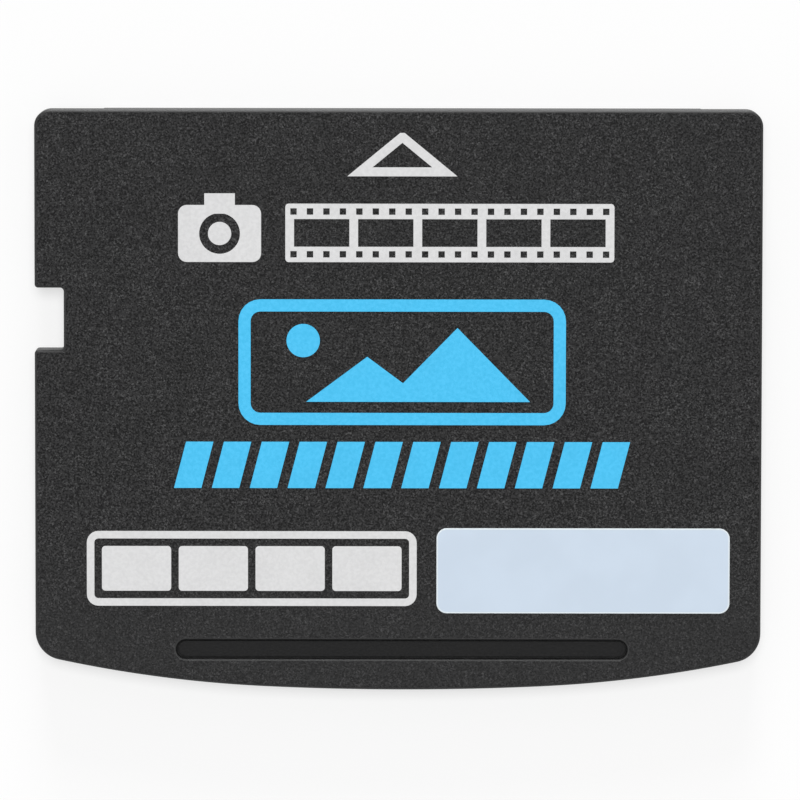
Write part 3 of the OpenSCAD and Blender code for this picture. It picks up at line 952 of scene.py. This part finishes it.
@dataclass
class Covers:
    """The two welded covers, with the groove, the rails, the windows and the board pocket."""

    outline: CardOutline
    edge_radius: float = 0.13
    edge_segments: int = 5
    small_radius: float = 0.03
    small_segments: int = 2
    overrun: float = 0.5
    groove_width: float = 15.55
    groove_length: float = 0.67
    groove_depth: float = 0.4
    groove_lip: float = 0.06
    groove_from_grip: float = 1.4
    channel_width: float = 0.075
    channel_depth: float = 0.16
    skin: float = 0.4
    board_gap: float = 0.1
    pocket_radius: float = 0.5
    tongue_width: float = 20.6
    rail_step: float = 0.5
    rail_stop: float = 3.0
    rail_stop_radius: float = 0.8
    window_gap: float = 0.025
    window_radius: float = 0.1
    post_radius: float = 0.4
    post_from_side: float = 1.15
    post_from_end: float = 0.7
    post_stand: float = 0.1
    level_cosine: float = 0.97
    pocket_steps: int = 6
    groove_steps: int = 14
    lip_segments: int = 3
    stop_steps: int = 10
    window_steps: int = 4

    def pocket(self, low_z: float, high_z: float) -> Mesh:
        """Makes the space that holds the board.

        Args:
            low_z: Its lower end.
            high_z: Its upper end.

        Returns:
            The space as a solid.
        """
        low, high = box_mm("circuit_board")
        gap = Vector((self.board_gap, self.board_gap, 0))
        low, high = low - gap, high + gap
        low.z, high.z = low_z, high_z
        mesh = bmesh.new()
        add_block(mesh, low, high, self.pocket_radius, self.pocket_steps)
        return mesh

    def groove_block(self, inset: float, low_z: float, high_z: float) -> Mesh:
        """Makes a long block with round ends that follows the finger groove.

        Args:
            inset: How far it stays inside the groove's wall, in millimetres.
            low_z: Its lower end.
            high_z: Its upper end.

        Returns:
            The block as a solid.
        """
        middle = Vector((self.outline.middle_x, self.groove_from_grip - self.outline.half_length, 0))
        half = Vector((self.groove_width / 2 - inset, self.groove_length / 2 - inset, 0))
        mesh = bmesh.new()
        low, high = middle - half + Vector((0, 0, low_z)), middle + half + Vector((0, 0, high_z))
        add_block(mesh, low, high, half.y - MERGE, self.groove_steps)
        return mesh

    def cut_groove(self, mesh: Mesh, face_z: float) -> None:
        """Cuts the finger groove, rounds its lip and leaves a narrow channel round its floor.

        Args:
            mesh: The front cover.
            face_z: Height of the printed face.
        """
        floor_z = face_z - self.groove_depth
        combine(mesh, self.groove_block(0.0, floor_z, face_z + self.overrun), Cut.AWAY)
        lip = [e for e in sharp_edges(mesh) if e in set(edges_at(mesh, face_z))]
        round_edges(mesh, lip, self.groove_lip, self.lip_segments)
        pad = self.groove_block(
            self.channel_width, floor_z - self.channel_width, floor_z + self.channel_depth
        )
        combine(mesh, pad, Cut.ON)

    def rail_cut(self, mesh: Mesh, side: Side) -> None:
        """Adds the space under one guide rail.

        Args:
            mesh: Mesh that takes it.
            side: Side of the card.
        """
        past = self.rail_stop_radius + self.overrun
        inner = self.outline.middle_x + side.value * self.tongue_width / 2
        outer = side.value * (self.outline.half_width + past)
        low = Vector((min(inner, outer), self.rail_stop - self.outline.half_length, -self.overrun))
        high = Vector((max(inner, outer), self.outline.half_length + past, self.rail_step))
        add_block(mesh, low, high, self.rail_stop_radius, self.stop_steps)

    def windows(self, floor_z: float) -> Mesh:
        """Makes the spaces over the contacts.

        Args:
            floor_z: Height of the back cover's inner floor.

        Returns:
            The spaces as solids.
        """
        mesh = bmesh.new()
        for node in contact_nodes():
            low, high = box_mm(node)
            gap = Vector((self.window_gap, self.window_gap, 0))
            low, high = low - gap, high + gap
            low.z, high.z = -self.overrun, floor_z + self.overrun
            add_block(mesh, low, high, self.window_radius, self.window_steps)
        return mesh

    def posts(self, floor_z: float, board_top: float) -> Mesh:
        """Makes the two posts that locate the board.

        Args:
            floor_z: Height of the back cover's inner floor.
            board_top: Height of the board's upper side.

        Returns:
            The posts as solids.
        """
        low, high = box_mm("circuit_board")
        mesh = bmesh.new()
        for x in (low.x + self.post_from_side, high.x - self.post_from_side):
            foot = Vector((x, low.y + self.post_from_end, floor_z - self.window_gap))
            add_post(mesh, foot, self.post_radius, board_top + self.post_stand - foot.z)
        return mesh

    def build_front(self) -> bpy.types.Object:
        """Builds the front cover.

        Returns:
            The piece.
        """
        low, high = box_mm("front_cover")
        mesh = bmesh.new()
        raise_face(mesh, self.outline.draw(mesh, low.z), high.z - low.z)
        round_edges(mesh, edges_at(mesh, high.z), self.edge_radius, self.edge_segments)
        self.cut_groove(mesh, high.z)
        combine(mesh, self.pocket(low.z - self.overrun, high.z - self.skin), Cut.AWAY)
        round_edges(mesh, sharp_edges(mesh), self.small_radius, self.small_segments)
        return finish_piece(mesh, "front_cover_shell")

    def build_back(self) -> bpy.types.Object:
        """Builds the back cover.

        Returns:
            The piece.
        """
        low, high = box_mm("back_cover")
        board_low, board_high = box_mm("circuit_board")
        seam = box_mm("front_cover")[0].z
        mesh = bmesh.new()
        raise_face(mesh, self.outline.draw(mesh, low.z), seam - low.z)
        round_edges(mesh, edges_at(mesh, low.z), self.edge_radius, self.edge_segments)
        rails = bmesh.new()
        for side in Side:
            self.rail_cut(rails, side)
        combine(mesh, rails, Cut.AWAY)
        combine(mesh, self.pocket(board_low.z, seam + self.overrun), Cut.AWAY)
        combine(mesh, self.windows(board_low.z), Cut.AWAY)
        combine(mesh, self.posts(board_low.z, board_high.z), Cut.ON)
        round_edges(mesh, sharp_edges(mesh), self.small_radius, self.small_segments)
        return finish_piece(mesh, "back_cover_shell")

    def mark_walls(self, piece: bpy.types.Object) -> None:
        """Gives every face that isn't level the second material of its cover.

        Args:
            piece: The cover.
        """
        for face in piece.data.polygons:
            face.material_index = int(abs(face.normal.z) < self.level_cosine)

    def dress(self) -> list[bpy.types.Object]:
        """Builds both covers and gives them their plastic.

        Returns:
            The pieces.
        """
        front, back = box_mm("front_cover"), box_mm("back_cover")
        pieces = []
        for build, node, finish, walls, face_z in (
            (self.build_front, "front_cover", FRONT_PLASTIC, FRONT_WALLS, front[1].z),
            (self.build_back, "back_cover", BACK_PLASTIC, BACK_WALLS, back[0].z),
        ):
            piece = place_piece(build(), node, finish.material(face_z))
            piece.data.materials.append(walls.material())
            self.mark_walls(piece)
            pieces.append(piece)
        return pieces


@dataclass
class WritingLabel:
    """The pale film that takes a written note."""

    radius: float = 0.36
    edge_radius: float = 0.015
    corner_steps: int = 12
    edge_segments: int = 3

    def dress(self) -> bpy.types.Object:
        """Builds the label and gives it its film.

        Returns:
            The piece.
        """
        low, high = box_mm("writing_label")
        mesh = bmesh.new()
        add_block(mesh, low, high, self.radius, self.corner_steps)
        round_edges(mesh, edges_at(mesh, high.z), self.edge_radius, self.edge_segments)
        material = LABEL_FILM.material(low, high, self.radius)
        return place_piece(finish_piece(mesh, "writing_label_film"), "writing_label", material)


def contact_nodes() -> list[str]:
    """Names of the contacts, in order."""
    return sorted(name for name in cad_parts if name.startswith("contact_"))


def place_piece(
    piece: bpy.types.Object, node: str, material: bpy.types.Material
) -> bpy.types.Object:
    """Gives a new piece its material and its place in the frame.

    Args:
        piece: The new piece.
        node: CAD node that it stands for.
        material: The material.

    Returns:
        The piece.
    """
    piece.data.materials.append(material)
    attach(piece, ROOT)
    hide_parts(node)
    LOG.info("%s: %d faces", piece.name, len(piece.data.polygons))
    return piece


@dataclass
class SolidParts:
    """The CAD solids that keep their shape and only get a finish."""

    def finishes(self) -> dict[str, object]:
        """Picks a finish for each solid.

        Returns:
            Each finish, by the node that wears it.
        """
        tinned = ("left_chip_leads", "right_chip_leads", "component_end_caps")
        white_marks = ("arrow_print", "camera_print", "film_strip_print", "gauge_print")
        return {
            **{name: CONTACT_GOLD for name in contact_nodes()},
            **{name: LEAD_TIN for name in tinned},
            **{name: WHITE_INK for name in white_marks},
            "picture_print": BLUE_INK,
            "slanted_bars_print": BLUE_INK,
            "circuit_board": BOARD_MASK,
            "memory_chip": CHIP_RESIN,
            "left_capacitor": CERAMIC,
            "right_capacitor": CERAMIC,
            "resistor": GLAZE,
        }

    def dress(self) -> None:
        """Gives every one of them its material."""
        made: dict[str, bpy.types.Material] = {}
        for node, finish in self.finishes().items():
            if finish.name not in made:
                made[finish.name] = finish.material()
            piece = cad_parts[node]
            piece.data.materials.clear()
            piece.data.materials.append(made[finish.name])
            LOG.info("%s: %s", node, finish.name)


@dataclass(frozen=True)
class SoftLamp:
    """Broad far lamp on the contact edge's side of the card, or light that the paper throws up at it."""

    name: str
    strength: float
    elevation: float
    softness: float

    def hang(self) -> None:
        """Adds the lamp to the scene."""
        lamp = bpy.data.lights.new(self.name, "SUN")
        lamp.energy = self.strength
        lamp.angle = math.radians(self.softness)
        holder = bpy.data.objects.new(self.name, lamp)
        holder.rotation_euler = Euler((-math.radians(90 - self.elevation), 0, 0))
        bpy.context.scene.collection.objects.link(holder)


@dataclass
class Studio:
    """Plain pale floor, soft light from the contact edge's side and a camera that looks down on the card."""

    floor_size: float = 1.2
    floor_segments: int = 96
    floor_colour: Colour = (0.38, 0.38, 0.38)
    ambient: float = 0.27
    lamps: Sequence[SoftLamp] = (
        SoftLamp("overhead", 1.9, 79.0, 22.0),
        SoftLamp("raking", 1.25, 17.0, 20.0),
        SoftLamp("paper_bounce", 3.0, -16.0, 26.0),
    )
    camera_distance: float = 240.0
    camera_tilt: float = 4.8
    camera_roll: float = 0.08
    aim: Vector = Vector((0.03, 0.035, 1.75))
    picture_pixels: float = 800.0
    pixels_per_mm: float = 29.09
    clip_near: float = 0.01
    clip_far: float = 10.0

    def seen_directly(self, tree: bpy.types.NodeTree) -> Socket:
        """Finds the rays that show the background: camera, glossy and transmission rays.

        Args:
            tree: Node tree to add to.

        Returns:
            A socket that is 1 for those rays.
        """
        path = tree.nodes.new("ShaderNodeLightPath")
        total = path.outputs["Is Camera Ray"]
        for name in ("Is Glossy Ray", "Is Transmission Ray"):
            either = tree.nodes.new("ShaderNodeMath")
            either.operation = "MAXIMUM"
            tree.links.new(total, either.inputs[0])
            tree.links.new(path.outputs[name], either.inputs[1])
            total = either.outputs[0]
        return total

    def build_world(self) -> None:
        """Lights the card evenly from all round, on a white background."""
        world = bpy.data.worlds.new("studio")
        bpy.context.scene.world = world
        world.use_nodes = True
        tree = world.node_tree
        background = next(n for n in tree.nodes if n.type == "BACKGROUND")
        background.inputs["Color"].default_value = (1, 1, 1, 1)
        level = tree.nodes.new("ShaderNodeMapRange")
        tree.links.new(self.seen_directly(tree), level.inputs["Value"])
        level.inputs["To Min"].default_value = self.ambient
        level.inputs["To Max"].default_value = 1.0
        tree.links.new(level.outputs["Result"], background.inputs["Strength"])

    def build_floor(self) -> bpy.types.Object:
        """Lays a pale floor that keeps the card's shadow and is clear from below, to show the back.

        Returns:
            The floor.
        """
        mesh = bmesh.new()
        bmesh.ops.create_circle(mesh, cap_ends=True, segments=self.floor_segments, radius=self.floor_size)
        data = bpy.data.meshes.new("floor")
        mesh.to_mesh(data)
        mesh.free()
        floor = bpy.data.objects.new("floor", data)
        bpy.context.scene.collection.objects.link(floor)
        graph = NodeGraph("floor_paper")
        diffuse = graph.node("BsdfDiffuse")
        graph.feed(diffuse.inputs["Color"], self.floor_colour)
        glow = graph.node("Emission")
        graph.feed(glow.inputs["Color"], (1.0, 1.0, 1.0))
        lift = graph.node("MapRange")
        graph.feed(lift.inputs["Value"], self.seen_directly(graph.tree))
        graph.feed(lift.inputs["To Max"], 1.0 - self.floor_colour[0])
        graph.feed(glow.inputs["Strength"], lift.outputs["Result"])
        both = graph.node("AddShader")
        graph.feed(both.inputs[0], diffuse.outputs[0])
        graph.feed(both.inputs[1], glow.outputs[0])
        one_sided = graph.node("MixShader")
        graph.feed(one_sided.inputs[0], graph.node("NewGeometry").outputs["Backfacing"])
        graph.feed(one_sided.inputs[1], both.outputs[0])
        graph.feed(one_sided.inputs[2], graph.node("BsdfTransparent").outputs[0])
        output = graph.node("OutputMaterial")
        graph.feed(output.inputs["Surface"], one_sided.outputs[0])
        data.materials.append(graph.material)
        floor.visible_diffuse = False
        floor.visible_shadow = False
        return floor

    def build_camera(self) -> None:
        """Sets the camera up at the photograph's angle and scale."""
        data = bpy.data.cameras.new("camera")
        half = self.picture_pixels / 2 / self.pixels_per_mm
        data.sensor_fit = "HORIZONTAL"
        data.angle = 2 * math.atan(half / self.camera_distance)
        data.clip_start = self.clip_near
        data.clip_end = self.clip_far
        camera = bpy.data.objects.new("camera", data)
        tilt = math.radians(self.camera_tilt)
        back = Vector((0, math.sin(tilt), math.cos(tilt))) * self.camera_distance
        camera.location = (self.aim + back) * MM
        camera.rotation_euler = Euler((-tilt, 0, math.radians(self.camera_roll)))
        bpy.context.scene.collection.objects.link(camera)
        bpy.context.scene.camera = camera

    def build(self) -> None:
        """Builds the whole studio."""
        bpy.context.scene.view_settings.view_transform = "Standard"
        self.build_world()
        self.build_floor()
        for lamp in self.lamps:
            lamp.hang()
        self.build_camera()
        LOG.info("studio: camera %.1f mm away", self.camera_distance)


def main() -> None:
    """Builds and dresses the card, piece by piece, and then the studio."""
    logging.basicConfig(level=logging.INFO, format="%(name)s %(message)s")
    low, high = CAD_BOUNDS
    board_low, board_high = box_mm("circuit_board")
    outline = CardOutline(
        half_width=(high.x - low.x) / 2 / MM,
        half_length=(high.y - low.y) / 2 / MM,
        middle_x=(board_low.x + board_high.x) / 2,
    )
    Covers(outline).dress()
    WritingLabel().dress()
    SolidParts().dress()
    Studio().build()


if __name__ == "__main__":
    main()
